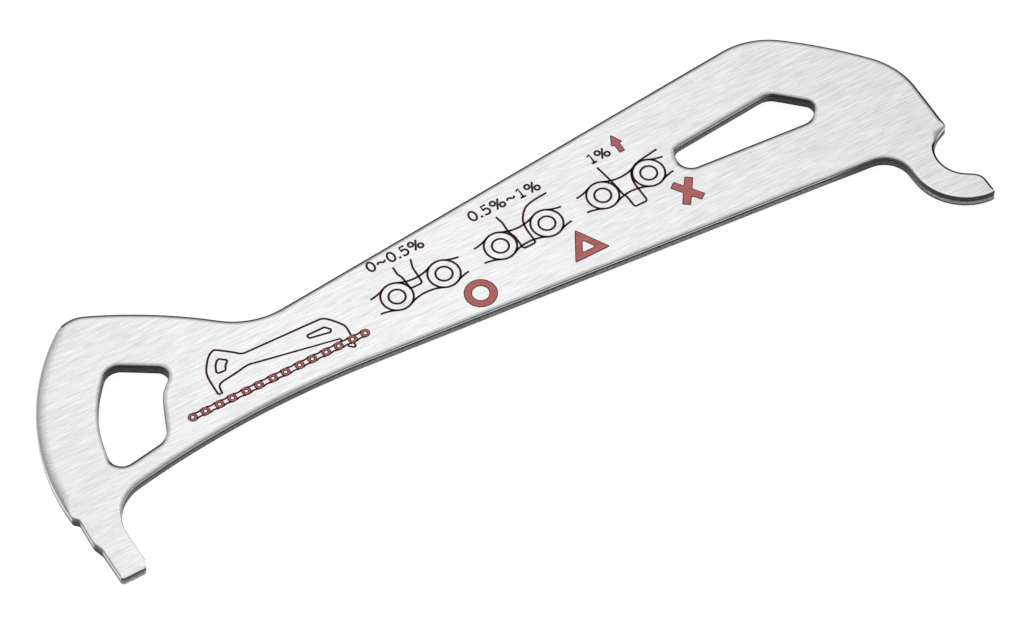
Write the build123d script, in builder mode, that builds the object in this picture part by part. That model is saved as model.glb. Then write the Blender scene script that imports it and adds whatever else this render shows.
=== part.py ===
from build123d import *
import os
from math import cos, radians, sin, sqrt, tan

# Chain wear gauge, stamped in one piece from flat steel sheet.
# A hook at the right holds one roller of a bicycle chain, and a stepped tooth at the left
# drops between two plates of the chain, ten pitches away, only as far as the chain's wear allows.
# The origin is the centre of the hooked roller, on the back face. +X runs from the tooth to the
# hook, +Y away from the chain and +Z out of the printed face. Millimetres and degrees.
# A height is a distance up from the line of the rollers.

# The chain that the gauge measures
chain_pitch = 12.7
span_pitches = 10
roller_diameter = 7.75

# Stretch of the chain at which each stage of the tooth drops in
entry_stretch = 0.0025
first_stretch = 0.005
second_stretch = 0.010

# The sheet and how its edges come out of the die
sheet_thickness = 1.6
die_roll = 0.38
window_roll = 0.45
burr_break = 0.1

# The hook: a seat for the roller, an outer curve round it, a rounded finger below and a small
# beak above, both ending just short of the roller's centre
seat_clearance = 0.025
seat_upper_slope = 23.8
seat_lower_slope = 34.4
hook_wall = 3.48
hook_centre_setback = 0.6
hook_centre_drop = 0.42
hook_root_radius = 3.7
finger_setback = 0.42
finger_end_radius = 2.1
finger_corner_radius = 0.6
beak_setback = 0.22
beak_radius = 0.5

# The tooth: its width and end, then the slopes that widen it at each stage
tooth_width = 3.76
tooth_depth = 1.77
tooth_crop_width = 0.45
tooth_crop_height = 0.8
first_step_bottom = 2.99
first_step_top = 4.47
first_flank_slope = 2.7
second_step_bottom = 8.33
second_step_top = 8.94
second_flank_slope = 2.3
tooth_root_height = 8.5
tooth_root_radius = 5.9

# The heel above the tooth and the neck behind it, reaching out from the tooth's second flank
heel_start_height = 9.6
heel_radius = 30.5
heel_top_reach = 13.5
heel_top_height = 35.86
heel_top_radius = 4.3
shoulder_radius = 63.0
neck_reach = 33.0
neck_height = 22.77
neck_radius = 10.4

# The underside: an arch behind the tooth, then one straight edge down to the hook
arch_reach = 42.5
arch_height = 10.85
lower_edge_drop = 6.77

# The wide end above the hook
crown_low_setback = 0.07
crown_low_height = 15.05
crown_low_radius = 10.5
crown_radius = 59.3
crown_top_setback = 14.45
crown_top_height = 29.4
crown_top_radius = 10.5

# The long window, corner by corner, set back from the hooked roller
long_window_setbacks = [14.42, 32.6, 32.3, 17.05, 12.4]
long_window_heights = [13.69, 15.26, 18.98, 20.25, 15.85]
long_window_radii = [2.3, 1.9, 1.6, 2.5, 1.35]

# The hanging window, corner by corner, reaching out from the tooth's second flank
hanging_window_reaches = [14.57, 21.57, 18.43, 15.78, 7.57, 9.41]
hanging_window_heights = [26.77, 22.22, 19.6, 13.37, 12.11, 20.78]
hanging_window_radii = [2.1, 1.5, 6.0, 2.5, 1.8, 19.0]


def gauge_span(stretch):
    """Distance between the facing sides of the two measured rollers at a given stretch."""
    return span_pitches * chain_pitch * (1 + stretch) - roller_diameter


# The three flanks of the tooth that meet the second roller, and the flank behind them
seat_radius = roller_diameter / 2 + seat_clearance
entry_flank = -seat_radius - gauge_span(entry_stretch)
first_flank = -seat_radius - gauge_span(first_stretch)
second_flank = -seat_radius - gauge_span(second_stretch)
inner_flank = entry_flank + tooth_width

# Where the slopes of the roller seat leave its arc
upper_slope = radians(seat_upper_slope)
lower_slope = radians(seat_lower_slope)
seat_top = (-seat_radius * sin(upper_slope), seat_radius * cos(upper_slope))
seat_bottom = (-seat_radius * sin(lower_slope), -seat_radius * cos(lower_slope))
beak = (-beak_setback, seat_top[1] - (beak_setback + seat_top[0]) * tan(upper_slope))
finger_top = (-finger_setback, seat_bottom[1] + (finger_setback + seat_bottom[0]) * tan(lower_slope))

# The outer curve of the hook, its lowest stretch, and where the finger's end cuts it
hook_radius = seat_radius + hook_wall
hook_side = (-hook_centre_setback - hook_radius, -hook_centre_drop)
hook_diagonal = hook_radius / sqrt(2)
hook_lowest = (-hook_centre_setback - hook_diagonal, -hook_centre_drop - hook_diagonal)
finger_drop = sqrt(hook_radius**2 - (hook_centre_setback - finger_setback) ** 2)
finger_corner = (-finger_setback, -hook_centre_drop - finger_drop)

# Corners of the body
arch_finish = (second_flank + arch_reach, arch_height)
hook_root = (hook_side[0], arch_height - lower_edge_drop)
tooth_root = (inner_flank, tooth_root_height)
heel_corner = (second_flank + heel_top_reach, heel_top_height)
neck_corner = (second_flank + neck_reach, neck_height)
crown_low = (-crown_low_setback, crown_low_height)
crown_top = (-crown_top_setback, crown_top_height)

# Corners of the tooth, from the foot of the heel down to its end and up the flank behind
second_flank_widening = (heel_start_height - second_step_top) * tan(radians(second_flank_slope))
first_flank_widening = (second_step_bottom - first_step_top) * tan(radians(first_flank_slope))
heel_start = (second_flank - second_flank_widening, heel_start_height)
tooth_corners = [
    heel_start,
    (second_flank, second_step_top),
    (first_flank, second_step_bottom),
    (first_flank - first_flank_widening, first_step_top),
    (entry_flank, first_step_bottom),
    (entry_flank, -tooth_depth),
    (inner_flank - tooth_crop_width, -tooth_depth),
    (inner_flank, tooth_crop_height - tooth_depth),
    tooth_root,
]

# Corners that are rounded in the outline
rounded_corners = [
    (heel_corner, heel_top_radius),
    (tooth_root, tooth_root_radius),
    (hook_root, hook_root_radius),
    (finger_corner, finger_corner_radius),
    (finger_top, finger_end_radius),
    (beak, beak_radius),
    (crown_low, crown_low_radius),
    (crown_top, crown_top_radius),
    (neck_corner, neck_radius),
]

# Corners of the two windows
long_window = [(-setback, height) for setback, height in zip(long_window_setbacks, long_window_heights)]
hanging_window = [
    (second_flank + reach, height)
    for reach, height in zip(hanging_window_reaches, hanging_window_heights)
]

with BuildPart() as gauge_plate:
    # The blank, with its rounded corners
    with BuildSketch() as blank:
        with BuildLine():
            Polyline(*tooth_corners)
            lower_direction = Vector(*hook_root) - Vector(*arch_finish)
            TangentArc(arch_finish, tooth_root, tangent=-lower_direction)
            Polyline(arch_finish, hook_root, hook_side)
            ThreePointArc(hook_side, hook_lowest, finger_corner)
            Polyline(finger_corner, finger_top, seat_bottom)
            ThreePointArc(seat_bottom, (-seat_radius, 0), seat_top)
            Polyline(seat_top, beak, crown_low)
            RadiusArc(crown_low, crown_top, -crown_radius)
            Line(crown_top, neck_corner)
            RadiusArc(neck_corner, heel_corner, -shoulder_radius)
            RadiusArc(heel_corner, heel_start, -heel_radius)
        make_face()
        for corner, radius in rounded_corners:
            fillet(blank.vertices().sort_by_distance(corner)[0], radius=radius)
        # The two windows, the long one and the one that hangs the gauge on a hook
        with BuildLine():
            FilletPolyline(*long_window, radius=long_window_radii, close=True)
        make_face(mode=Mode.SUBTRACT)
        with BuildLine():
            FilletPolyline(*hanging_window, radius=hanging_window_radii, close=True)
        make_face(mode=Mode.SUBTRACT)
    extrude(amount=sheet_thickness)
    # The die rounds the edges of the printed face, apart from the tooth, whose stages are ground
    # afterwards, and leaves a small break on the edges of the back face
    printed_face = gauge_plate.faces().sort_by(Axis.Z)[-1]
    punched_edges = printed_face.outer_wire().edges().filter_by(
        lambda edge: edge.center().X > inner_flank - die_roll or edge.center().Y > second_step_top
    )
    fillet(punched_edges, radius=die_roll)
    window_edges = gauge_plate.faces().sort_by(Axis.Z)[-1].inner_wires().edges()
    fillet(window_edges, radius=window_roll)
    chamfer(gauge_plate.faces().sort_by(Axis.Z)[0].edges(), length=burr_break)

gauge_plate.part.label = "gauge_plate"
os.makedirs("parts", exist_ok=True)
export_step(gauge_plate.part, "parts/gauge_plate.step")
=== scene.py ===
"""Dresses the chain wear gauge: its stamped steel, the print on its face, and the studio round it."""

import logging
import math
from dataclasses import dataclass, field, fields
from enum import Enum
from typing import Any, Iterable, Sequence

import bmesh
import bpy
from mathutils import Matrix, Vector, geometry, noise


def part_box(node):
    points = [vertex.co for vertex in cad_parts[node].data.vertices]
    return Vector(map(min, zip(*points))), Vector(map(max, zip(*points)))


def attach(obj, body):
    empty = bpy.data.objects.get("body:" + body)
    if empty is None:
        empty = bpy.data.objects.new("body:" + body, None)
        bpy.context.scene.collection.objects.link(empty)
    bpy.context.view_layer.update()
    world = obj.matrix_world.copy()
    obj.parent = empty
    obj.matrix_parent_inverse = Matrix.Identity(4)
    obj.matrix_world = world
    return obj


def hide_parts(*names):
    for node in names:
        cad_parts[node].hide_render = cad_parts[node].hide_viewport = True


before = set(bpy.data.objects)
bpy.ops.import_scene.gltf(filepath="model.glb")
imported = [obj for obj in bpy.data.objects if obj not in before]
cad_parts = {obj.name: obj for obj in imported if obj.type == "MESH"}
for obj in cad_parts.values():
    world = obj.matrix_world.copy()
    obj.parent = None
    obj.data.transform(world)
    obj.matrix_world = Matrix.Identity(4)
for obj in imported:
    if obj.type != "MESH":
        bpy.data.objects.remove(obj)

log = logging.getLogger("chain_wear_gauge")

Point = tuple[float, float]
Loop = list[Point]
Colour = tuple[float, float, float, float]

MM = 0.001
BODY = "root"
PLATE_NODE = "gauge_plate"
UP = Vector((0.0, 0.0, 1.0))
DOWN = Vector((0.0, 0.0, -1.0))
# Corners closer than this are one, in metres
WELD = 1e-7
# Most of a side that one rounded corner takes up
MOST_OF_SIDE = 0.49


class Slot(Enum):
    """The record's material slots."""

    STEEL = "plate_steel"
    RED = "mark_red"
    MAROON = "line_maroon"


def grey(level: float) -> Colour:
    """A neutral colour of that linear brightness."""
    return (level, level, level, 1.0)


def put_in_scene(name: str, data: bpy.types.ID) -> bpy.types.Object:
    """A new object in the scene.

    Args:
        name: Name of the object.
        data: What it shows.

    Returns:
        The object.
    """
    made = bpy.data.objects.new(name, data)
    bpy.context.scene.collection.objects.link(made)
    return made


def hand_over(piece: bpy.types.Object, slot: Slot, stands_for: str | None = None) -> None:
    """Fixes a finished piece to the object's one body and logs its slot.

    Args:
        piece: The finished piece, in place.
        slot: The record's slot that the piece takes its finish from.
        stands_for: The solid that the piece replaces, if any.
    """
    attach(piece, BODY)
    if stands_for:
        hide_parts(stands_for)
    log.info("%s: %d faces, %s", piece.name, len(piece.data.polygons), slot.value)


class NodeBoard:
    """A node tree, with short ways to add nodes to it and to join them."""

    def __init__(self, tree: bpy.types.NodeTree) -> None:
        """Starts on an existing tree."""
        self.tree = tree

    def add(
        self,
        kind: str,
        settings: dict[str, Any] | None = None,
        inputs: dict[str | int, Any] | None = None,
    ) -> bpy.types.Node:
        """Adds a node.

        Args:
            kind: Blender's name for the node.
            settings: Properties of the node, by name.
            inputs: Sockets by name or number, each with a value or with the socket that feeds it.

        Returns:
            The new node.
        """
        node = self.tree.nodes.new(kind)
        for name, value in (settings or {}).items():
            setattr(node, name, value)
        for name, value in (inputs or {}).items():
            if isinstance(value, bpy.types.NodeSocket):
                self.tree.links.new(value, node.inputs[name])
            else:
                node.inputs[name].default_value = value
        return node

    def maths(self, operation: str, *values: Any) -> bpy.types.NodeSocket:
        """The result of a Math node on one to three numbers or sockets."""
        node = self.add("ShaderNodeMath", {"operation": operation}, dict(enumerate(values)))
        return node.outputs[0]

    def ramp(
        self,
        source: bpy.types.NodeSocket,
        stops: Sequence[tuple[float, Colour]],
        blend: str = "LINEAR",
    ) -> bpy.types.NodeSocket:
        """A colour ramp.

        Args:
            source: The number that runs along the ramp.
            stops: Places from 0 to 1, each with its colour.
            blend: How the ramp goes from stop to stop.

        Returns:
            The ramp's colour.
        """
        node = self.add("ShaderNodeValToRGB", inputs={"Fac": source})
        node.color_ramp.interpolation = blend
        elements = node.color_ramp.elements
        while len(elements) < len(stops):
            elements.new(1.0)
        for element, (place, colour) in zip(elements, stops):
            element.position = place
            element.color = colour
        return node.outputs["Color"]

    def mix(
        self, share: Any, first: Any, second: Any, blend: str = "MIX"
    ) -> bpy.types.NodeSocket:
        """Two colours mixed.

        Args:
            share: How much of the second colour shows, from 0 to 1.
            first: The first colour or its socket.
            second: The second colour or its socket.
            blend: Blender's name for the way that they mix.

        Returns:
            The mixed colour.
        """
        settings = {"data_type": "RGBA", "blend_type": blend}
        node = self.add("ShaderNodeMix", settings, {0: share, 6: first, 7: second})
        return node.outputs[2]


def new_material(name: str) -> tuple[bpy.types.Material, NodeBoard, bpy.types.Node]:
    """Starts a material.

    Args:
        name: The material's name.

    Returns:
        The material, its board and its one surface shader.
    """
    material = bpy.data.materials.new(name)
    material.use_nodes = True
    board = NodeBoard(material.node_tree)
    return material, board, material.node_tree.nodes["Principled BSDF"]


def add_relief(
    board: NodeBoard, shader: bpy.types.Node, height: Any, depth: float, strength: float
) -> None:
    """Gives a surface a shallow relief.

    Args:
        board: The material's board.
        shader: The surface's shader.
        height: The socket that gives the height, from 0 to 1.
        depth: Depth of the relief in metres.
        strength: How much of it shows.
    """
    inputs = {"Strength": strength, "Distance": depth, "Height": height}
    bump = board.add("ShaderNodeBump", inputs=inputs)
    board.tree.links.new(bump.outputs["Normal"], shader.inputs["Normal"])


@dataclass(frozen=True)
class Streaks:
    """A noise drawn out along X, as the marks of a brushing belt are.

    Attributes:
        length: Length of a mark in millimetres.
        width: Width of a mark in millimetres.
        detail: Octaves of the noise.
        shift: Moves the pattern, so that two of them differ.
        low: Noise up to which the first level shows.
        high: Noise from which the second level shows.
        roughness: How strong the finer octaves are.
    """

    length: float
    width: float
    detail: float
    shift: float
    low: float = 0.0
    high: float = 1.0
    roughness: float = 0.6

    def noise(self, board: NodeBoard) -> bpy.types.NodeSocket:
        """Adds the noise.

        Args:
            board: The material's board.

        Returns:
            The noise, from 0 to 1.
        """
        place = board.add("ShaderNodeTexCoord").outputs["Object"]
        scale = (1 / (self.length * MM), 1 / (self.width * MM), 1 / (self.width * MM))
        inputs = {"Vector": place, "Location": (self.shift,) * 3, "Scale": scale}
        stretched = board.add("ShaderNodeMapping", inputs=inputs).outputs["Vector"]
        inputs = {"Vector": stretched, "Scale": 1.0, "Detail": self.detail, "Roughness": self.roughness}
        return board.add("ShaderNodeTexNoise", inputs=inputs).outputs["Fac"]

    def levels(
        self, board: NodeBoard, source: bpy.types.NodeSocket, first: float, second: float
    ) -> bpy.types.NodeSocket:
        """Grades a noise into a grey.

        Args:
            board: The material's board.
            source: The noise.
            first: Grey level where the noise is low.
            second: Grey level where it is high.

        Returns:
            The grey.
        """
        return board.ramp(source, [(self.low, grey(first)), (self.high, grey(second))])


@dataclass(frozen=True)
class BrushedSteel:
    """The plate's steel: a brushed face, and a cut edge that the die left in bands.

    Two attributes of the plate set its cut edge. The first is a tone that multiplies the colour, a
    share of the light that the face gives back: it holds the die's bands together with painted
    light and shade, painted shade on the roll, the crease, the groove, the foot and walls turned
    from the light, and a painted highlight and reflection on the lip and the land. The second,
    torn, is how rough the fracture is.

    Attributes:
        broad_marks: The broad marks of the brushing, and how the marks are graded.
        fine_marks: The fine marks that are mixed in.
        fine_share: How much the fine marks count.
        face_dark: Colour level at the bottom of a brush mark.
        face_light: Colour level between the marks.
        scratches: The lone deeper scratches.
        scratch_level: Colour level in a scratch and in a pit.
        scratch_share: How much of a scratch shows.
        pits: The tiny pits.
        pit_share: How much of a pit shows.
        specks: Noise between which the torn metal goes from its darkest speck to its lightest.
        speck_dark: Darkest speck of the torn metal, as a share of its tone.
        speck_light: Lightest speck.
        speck_scale: Specks in a metre.
        speck_detail: Octaves of the specks.
        face_roughness: Roughness of the face.
        roughness_swing: How much it changes across a mark.
        torn_roughness: Roughness of the torn metal.
        relief: Depth of the marks.
        relief_share: How much of that depth shows.
    """

    broad_marks: Streaks = Streaks(6.5, 0.22, 3.0, 0.0, 0.34, 0.66)
    fine_marks: Streaks = Streaks(2.6, 0.09, 2.0, 3.0)
    fine_share: float = 0.70
    face_dark: float = 0.65
    face_light: float = 1.00
    scratches: Streaks = Streaks(7.0, 0.14, 1.0, 7.0, 0.24, 0.30)
    scratch_level: float = 0.40
    scratch_share: float = 0.35
    pits: Streaks = Streaks(0.45, 0.25, 1.0, 19.0, 0.22, 0.26)
    pit_share: float = 0.55
    specks: tuple[float, float] = (0.36, 0.62)
    speck_dark: float = 0.35
    speck_light: float = 1.0
    speck_scale: float = 5200.0
    speck_detail: float = 2.0
    face_roughness: float = 0.28
    roughness_swing: float = 0.10
    torn_roughness: float = 0.62
    relief: float = 0.008 * MM
    relief_share: float = 0.5

    def make(self) -> bpy.types.Material:
        """Builds the steel's material.

        Returns:
            The material.
        """
        material, board, shader = new_material("brushed_steel")
        # The cut edge's tone: its bands with painted light and shade
        tone = board.add("ShaderNodeAttribute", {"attribute_name": "tone"}).outputs["Fac"]
        torn = board.add("ShaderNodeAttribute", {"attribute_name": "torn"}).outputs["Fac"]
        marks = board.mix(self.fine_share, self.broad_marks.noise(board), self.fine_marks.noise(board))
        face = self.broad_marks.levels(board, marks, self.face_dark, self.face_light)
        for flaws, share in ((self.scratches, self.scratch_share), (self.pits, self.pit_share)):
            shown = flaws.levels(board, flaws.noise(board), share, 0.0)
            face = board.mix(shown, face, grey(self.scratch_level))
        place = board.add("ShaderNodeTexCoord").outputs["Object"]
        inputs = {"Vector": place, "Scale": self.speck_scale, "Detail": self.speck_detail}
        grain = board.add("ShaderNodeTexNoise", inputs=inputs).outputs["Fac"]
        shades = zip(self.specks, (grey(self.speck_dark), grey(self.speck_light)))
        cut = board.mix(torn, face, board.ramp(grain, list(shades)))
        # Painted light and shade: the cut edge's tone multiplies the colour
        board.tree.links.new(board.mix(1.0, cut, tone, "MULTIPLY"), shader.inputs["Base Color"])
        shader.inputs["Metallic"].default_value = 1.0
        smoothest = self.face_roughness - self.roughness_swing / 2
        uneven = board.maths("MULTIPLY_ADD", marks, self.roughness_swing, smoothest)
        rough = self._either(board, torn, uneven, self.torn_roughness)
        board.tree.links.new(rough, shader.inputs["Roughness"])
        add_relief(board, shader, self._either(board, torn, marks, grain), self.relief, self.relief_share)
        return material

    @staticmethod
    def _either(board: NodeBoard, torn: Any, smooth: Any, rough: Any) -> bpy.types.NodeSocket:
        """One value on smooth metal and another on torn metal."""
        return board.add("ShaderNodeMix", {"data_type": "FLOAT"}, {0: torn, 2: smooth, 3: rough}).outputs[0]


@dataclass(frozen=True)
class PrintedInk:
    """One ink of the print, thin enough for the brushing under it to show through a little.

    Attributes:
        name: Name of its material.
        colour: Its colour.
        thin_colour: Its colour where the brushing shows through.
        streaks: Where the brushing shows through.
        roughness: Roughness of the ink.
        shine: Its specular level.
        relief: Depth of the brushing in it.
        relief_share: How much of that depth shows.
    """

    name: str
    colour: Colour
    thin_colour: Colour
    streaks: Streaks = Streaks(9.0, 0.16, 3.0, 11.0, 0.42, 0.70)
    roughness: float = 0.5
    shine: float = 0.15
    relief: float = 0.006 * MM
    relief_share: float = 0.3

    def make(self) -> bpy.types.Material:
        """Builds the ink's material.

        Returns:
            The material.
        """
        material, board, shader = new_material(self.name)
        brushing = self.streaks.noise(board)
        share = self.streaks.levels(board, brushing, 0.0, 1.0)
        board.tree.links.new(board.mix(share, self.colour, self.thin_colour), shader.inputs["Base Color"])
        shader.inputs["Roughness"].default_value = self.roughness
        shader.inputs["Specular IOR Level"].default_value = self.shine
        add_relief(board, shader, brushing, self.relief, self.relief_share)
        return material


@dataclass
class Rim:
    """One closed cut edge of the plate, with the steel on its left.

    Attributes:
        points: Places along the edge.
        outward: For each place, the way out of the steel.
        is_window: Whether the edge bounds a window.
    """

    points: list[Vector]
    outward: list[Vector]
    is_window: bool

    def roundness(self, number: int, reach: int = 2) -> float:
        """How tightly the edge bulges at one place.

        Args:
            number: The place.
            reach: How many places to each side it looks.

        Returns:
            One over the bulge's radius, or 0 where the edge hollows.
        """
        count = len(self.points)
        before = (number - reach) % count
        after = (number + reach) % count
        run = (self.points[after] - self.points[before]).length
        turn = self.outward[before].angle_signed(self.outward[after])
        return max(0.0, -turn / run)


@dataclass
class RimReader:
    """Reads the plate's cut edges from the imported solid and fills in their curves.

    Attributes:
        spacing: Distance between places along an edge, in metres.
        tooth_edge: The tooth lies to the left of this X.
        tooth_top: The tooth's stages lie below this Y.
        tooth_corner: A turn that makes a corner on the tooth, in degrees.
        other_corner: A turn that makes a corner elsewhere.
        most_ground: Most of a side that a ground corner may take up.
        level_slack: How far from a level a corner of the solid may lie.
        step_softness: How far the stages' corners are ground off along each side.
        end_softness: The same at the tooth's end.
        arc_step: Largest turn between two places, in degrees.
    """

    spacing: float = 0.22 * MM
    tooth_edge: float = -119.0 * MM
    tooth_top: float = 9.8 * MM
    tooth_corner: float = 14.0
    other_corner: float = 60.0
    most_ground: float = 0.4
    level_slack: float = 1e-6
    step_softness: float = 0.24 * MM
    end_softness: float = 0.38 * MM
    arc_step: float = 9.0

    def read(self, node: str) -> list[Rim]:
        """The plate's rims, the outer one first.

        Args:
            node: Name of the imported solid.

        Returns:
            One rim for each closed edge.
        """
        solid = bmesh.new()
        solid.from_mesh(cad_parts[node].data)
        bmesh.ops.remove_doubles(solid, verts=solid.verts, dist=WELD)
        levels = sorted({round(vert.co.z, 6) for vert in solid.verts})
        foot = levels[1]
        at_foot = {vert for vert in solid.verts if abs(vert.co.z - foot) < self.level_slack}
        loops = self._walk(at_foot)
        solid.free()
        loops.sort(key=lambda loop: -abs(self._area(loop)))
        rims = []
        for number, loop in enumerate(loops):
            wanted = 1.0 if number == 0 else -1.0
            if self._area(loop) * wanted < 0:
                loop.reverse()
            rims.append(self._fill_in(loop, number > 0))
        return rims

    @staticmethod
    def _area(loop: list[Vector]) -> float:
        """Signed area inside a loop, positive when it runs anticlockwise."""
        pairs = zip(loop, loop[1:] + loop[:1])
        return sum(a.x * b.y - b.x * a.y for a, b in pairs) / 2

    @staticmethod
    def _walk(at_foot: set[bmesh.types.BMVert]) -> list[list[Vector]]:
        """Follows the edges between vertices of one level into closed loops.

        Args:
            at_foot: The vertices of the level.

        Returns:
            The loops' places, each from its leftmost one on, so that every run gives the same.
        """
        left = set(at_foot)
        loops = []
        while left:
            start = min(left, key=lambda vert: tuple(vert.co))
            left.discard(start)
            loop = [start.co.xy]
            here = start
            while True:
                ways = [e.other_vert(here) for e in here.link_edges if e.other_vert(here) in left]
                if not ways:
                    break
                here = ways[0]
                left.discard(here)
                loop.append(here.co.xy)
            loops.append(loop)
        return loops

    def _fill_in(self, loop: list[Vector], is_window: bool) -> Rim:
        """Turns a loop of few points into a rim whose arcs are round and whose corners are soft.

        Args:
            loop: The points.
            is_window: Whether the loop bounds a window.

        Returns:
            The rim.
        """
        stations: list[tuple[Vector, Vector]] = []
        for i, here in enumerate(loop):
            following = loop[(i + 1) % len(loop)]
            before = here - loop[i - 1]
            after = following - here
            if self._is_corner(here, before, after):
                softness = self.end_softness if here.y < 0 else self.step_softness
                reach = min(softness, self.most_ground * before.length, self.most_ground * after.length)
                stations.append((here - before.normalized() * reach, before.normalized()))
                stations.append((here + after.normalized() * reach, after.normalized()))
            else:
                stations.append((here, (following - loop[i - 1]).normalized()))
        rim = Rim([], [], is_window)
        for (start, leave), (end, arrive) in zip(stations, stations[1:] + stations[:1]):
            length = (end - start).length
            turn = math.degrees(leave.angle(arrive))
            steps = max(1, round(length / self.spacing), math.ceil(turn / self.arc_step))
            for step in range(steps):
                place, heading = hermite(start, end, leave * length, arrive * length, step / steps)
                rim.points.append(place)
                rim.outward.append(Vector((heading.y, -heading.x)).normalized())
        return rim

    def _is_corner(self, place: Vector, before: Vector, after: Vector) -> bool:
        """Whether the edge turns sharply there.

        Args:
            place: The place.
            before: The side that leads to it.
            after: The side that leads on.

        Returns:
            Whether it is a corner.
        """
        on_tooth = place.x < self.tooth_edge and place.y < self.tooth_top
        limit = self.tooth_corner if on_tooth else self.other_corner
        return math.degrees(before.angle(after)) > limit


@dataclass(frozen=True)
class CutEdge:
    """How one stretch of the edge came out of the die, from the face down to the back.

    The face bends down in a smooth roll, which may have a painted dark crease in it and ends in a
    shiny land. Under the land runs a groove where the sheet began to tear, then the torn metal, and
    at the back the foot that the break leaves. A tone is a share of the light that the face gives
    back, painted into the colour: the tones paint the light and shade that each band gets, mostly
    painted shade on the roll, the crease, the groove and the foot, and a painted highlight and
    reflection on the lip and the land, on top of the torn metal's own duller grey. The first four
    places are shares of the height between the roll and the back's break.

    Attributes:
        width: How far the roll reaches into the face, in millimetres.
        depth: How far it reaches down the edge.
        lip_painted_light: Tone where the face starts to bend: painted light and shade, a painted highlight
            where it is above 1.
        roll: Tone of the roll: painted light and shade, mostly painted shade.
        crease_painted_light: Tone of the crease in it: mostly painted shade.
        land_burnish_and_painted_light: Tone of the land: the burnished band, with a painted reflection where
            it is light and painted shade where it is dark.
        groove_painted_light: Tone of the groove: painted light and shade.
        fracture_grey_and_painted_light: Tone of the torn metal: its own duller grey with painted shade.
        foot: Tone of the foot: painted shade.
        land_end: Where the land ends.
        groove_start: Where the groove is darkest.
        groove_end: Where it gives way to the torn metal.
        foot_start: Where the foot starts.
        crease_at: Where the crease lies, as a share of the roll's turn.
        recess: How far the torn metal stands back, in millimetres.
        tearing: How rough the torn metal is, from 0 to 1.
        lean: How far the wall leans back from its foot to the face, in millimetres.
    """

    width: float
    depth: float
    lip_painted_light: float
    roll: float
    crease_painted_light: float
    land_burnish_and_painted_light: float
    groove_painted_light: float
    fracture_grey_and_painted_light: float
    foot: float
    land_end: float = 0.03
    groove_start: float = 0.12
    groove_end: float = 0.28
    foot_start: float = 0.88
    crease_at: float = 0.60
    recess: float = 0.05
    tearing: float = 1.0
    lean: float = 0.0


class Cut(Enum):
    """The kinds of cut edge that the gauge has."""

    # In the order of CutEdge: width, depth, seven tones of painted light and shade, five places, recess,
    # tearing and lean
    LOWER = CutEdge(0.60, 0.28, 1.00, 0.76, 0.01, 0.84, 0.01, 0.32, 0.16, 0.03, 0.09, 0.34, 0.88, 0.73)
    ARCH = CutEdge(0.62, 0.32, 1.00, 0.82, 0.66, 0.42, 0.02, 0.23, 0.12, 0.08, 0.20, 0.36, 0.88, 0.66, 0.02)
    # The heel's wide roll is painted darker as shade, with a painted light line below it
    HEEL = CutEdge(
        1.35, 0.50, 1.00, 0.71, 0.60, 0.75, 1.00, 0.80, 0.05, 0.06, 0.24, 0.50, 0.62, 0.60, 0.00, 0.3
    )
    # Far edges: roll, land and groove painted dark, as shade
    FAR = CutEdge(0.75, 0.36, 0.80, 0.48, 0.01, 0.01, 0.14, 0.44, 0.25, 0.04, 0.12, 0.20, 0.88, 0.42)
    ROOT = CutEdge(0.60, 0.30, 1.00, 0.70, 0.45, 0.09, 0.01, 0.12, 0.01, 0.00, 0.04, 0.14, 0.84, 0.60, 0.00)
    # The hook: a lip painted lighter than the face as a highlight, and walls painted dark as shade
    HOOK = CutEdge(0.38, 0.15, 1.25, 0.62, 0.06, 0.05, 0.03, 0.42, 0.03, 0.05, 0.14, 0.36, 0.82, 0.54, 0.00)
    SEAT = CutEdge(
        0.40, 0.09, 1.12, 0.90, 0.01, 0.01, 0.14, 0.44, 0.25, 0.04, 0.12, 0.20, 0.88, 0.26, 0.02, 1.0, 0.18
    )
    BEAK = CutEdge(1.00, 0.30, 0.78, 0.48, 0.36, 0.95, 0.01, 0.30, 0.10, 0.14, 0.24, 0.50, 0.80, 0.62, 0.02)
    # Window walls painted dark, as shade inside the window
    WINDOW = CutEdge(
        0.65, 0.30, 1.00, 0.66, 0.28, 0.04, 0.01, 0.085, 0.005, 0.0, 0.05, 0.14, 0.84, 0.60, 0.00
    )
    SIDE = CutEdge(0.65, 0.26, 0.96, 0.70, 0.42, 0.30, 0.04, 0.12, 0.02, 0.0, 0.05, 0.14, 0.86, 0.74, 0.00)
    FLANK = CutEdge(
        0.17, 0.10, 1.00, 0.80, 0.22, 0.20, 0.85, 0.66, 0.05, 0.03, 0.24, 0.34, 0.62, 0.62, 0.0, 0.3
    )
    LEDGE = CutEdge(0.26, 0.16, 1.00, 0.80, 0.62, 0.14, 0.07, 0.11, 0.05, 0.05, 0.25, 0.45, 0.88, 0.60, 0.00)
    # The tooth's end: a painted highlight along its top and a painted dark groove under it
    END = CutEdge(0.09, 0.06, 1.20, 1.20, 1.20, 1.10, 0.005, 0.26, 0.50, 0.07, 0.13, 0.29, 0.60, 0.60, 0.00)

    @staticmethod
    def blend(shares: dict["Cut", float]) -> CutEdge:
        """The edge between several kinds.

        Args:
            shares: How much of each kind there is.

        Returns:
            Their average.
        """
        total = sum(shares.values())
        values = {
            item.name: sum(getattr(kind.value, item.name) * share for kind, share in shares.items()) / total
            for item in fields(CutEdge)
        }
        return CutEdge(**values)


@dataclass(frozen=True)
class Ease:
    """A smooth rise from 0 to 1.

    Attributes:
        start: Value at which it is 0.
        end: Value at which it is 1. It may be the lower one.
    """

    start: float
    end: float

    def at(self, value: float) -> float:
        """How far the rise has come at a value."""
        share = min(1.0, max(0.0, (value - self.start) / (self.end - self.start)))
        return share * share * (3 - 2 * share)


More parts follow.
